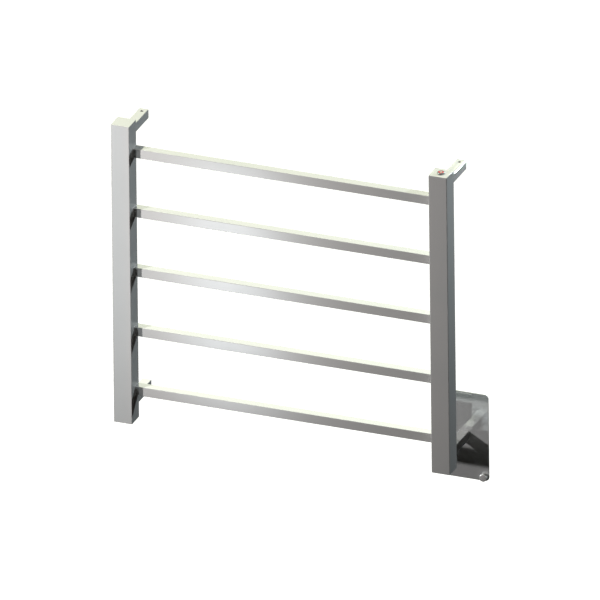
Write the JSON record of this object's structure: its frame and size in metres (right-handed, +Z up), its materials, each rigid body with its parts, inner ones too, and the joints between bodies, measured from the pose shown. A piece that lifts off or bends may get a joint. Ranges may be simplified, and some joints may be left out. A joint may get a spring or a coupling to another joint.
{
  "type": "towel warmer rack",
  "caption": "Wall-mounted electric towel rack of polished square tube, with square bars between two uprights, wall arms, a cover plate at one lower arm and a lit push button on top.",
  "frame": {"origin": "in the wall's face, midway between the uprights and at half their height, the centre of the four arms' wall ends", "axes": "+X to the right along the bars, +Y into the wall, +Z up"},
  "size_m": [0.575, 0.1, 0.5519],
  "materials": {
    "polished_steel": "mirror polished",
    "steel": "plain",
    "die_cast_zinc": "cast",
    "brass": "bright",
    "rubber": "matte",
    "black_plastic": "matte",
    "red_lens": "lit, translucent",
    "red_sheath": "satin",
    "grey_sheath": "satin",
    "green_sheath": "satin"
  },
  "bodies": {
    "rack": {"bar_1": "polished_steel", "bar_2": "polished_steel", "bar_3": "polished_steel", "bar_4": "polished_steel", "bar_5": "polished_steel", "cable_grommet": "rubber", "cover_plate": "polished_steel", "cutout_clip": "steel", "earth_lead": "green_sheath", "earth_nut": "brass", "earth_tag": "brass", "end_seal": "rubber", "heating_cable": "red_sheath", "joint_sleeve": "black_plastic", "led_ring": "red_lens", "left_bottom_cap": "polished_steel", "left_top_cap": "polished_steel", "left_upright": "polished_steel", "lower_left_arm": "polished_steel", "lower_left_set_screw": "steel", "lower_left_spigot": "die_cast_zinc", "lower_right_arm": "polished_steel", "return_spring": "steel", "right_bottom_cap": "polished_steel", "right_top_cap": "polished_steel", "right_upright": "polished_steel", "supply_lead": "grey_sheath", "switch_base": "black_plastic", "switch_housing": "polished_steel", "switch_nut": "brass", "switch_terminal_1": "brass", "switch_terminal_2": "brass", "switch_terminal_3": "brass", "switch_terminal_4": "brass", "switched_lead": "red_sheath", "thermal_cutout": "black_plastic", "upper_left_arm": "polished_steel", "upper_left_set_screw": "steel", "upper_left_spigot": "die_cast_zinc", "upper_right_arm": "polished_steel", "upper_right_set_screw": "steel", "upper_right_spigot": "die_cast_zinc"},
    "button": {"button_cap": "polished_steel"},
    "lower_plate_nut": {"plate_nut_lower": "polished_steel"},
    "upper_plate_nut": {"plate_nut_upper": "polished_steel"}
  },
  "joints": [
    {"name": "button_press", "type": "slide", "parent": "rack", "child": "button", "axis": [0, 0, -1], "range_m": [0, 0.0012], "stiffness_N_per_m": 2000, "springref_m": -0.0003, "deforming": ["return_spring"]},
    {"name": "lower_nut_turn", "type": "hinge", "parent": "rack", "child": "lower_plate_nut", "pos_m": [0.2923, -0.0018, -0.2923], "axis": [0, -1, 0], "continuous": true},
    {"name": "upper_nut_turn", "type": "hinge", "parent": "rack", "child": "upper_plate_nut", "pos_m": [0.2277, -0.0018, -0.1627], "axis": [0, -1, 0], "continuous": true}
  ]
}
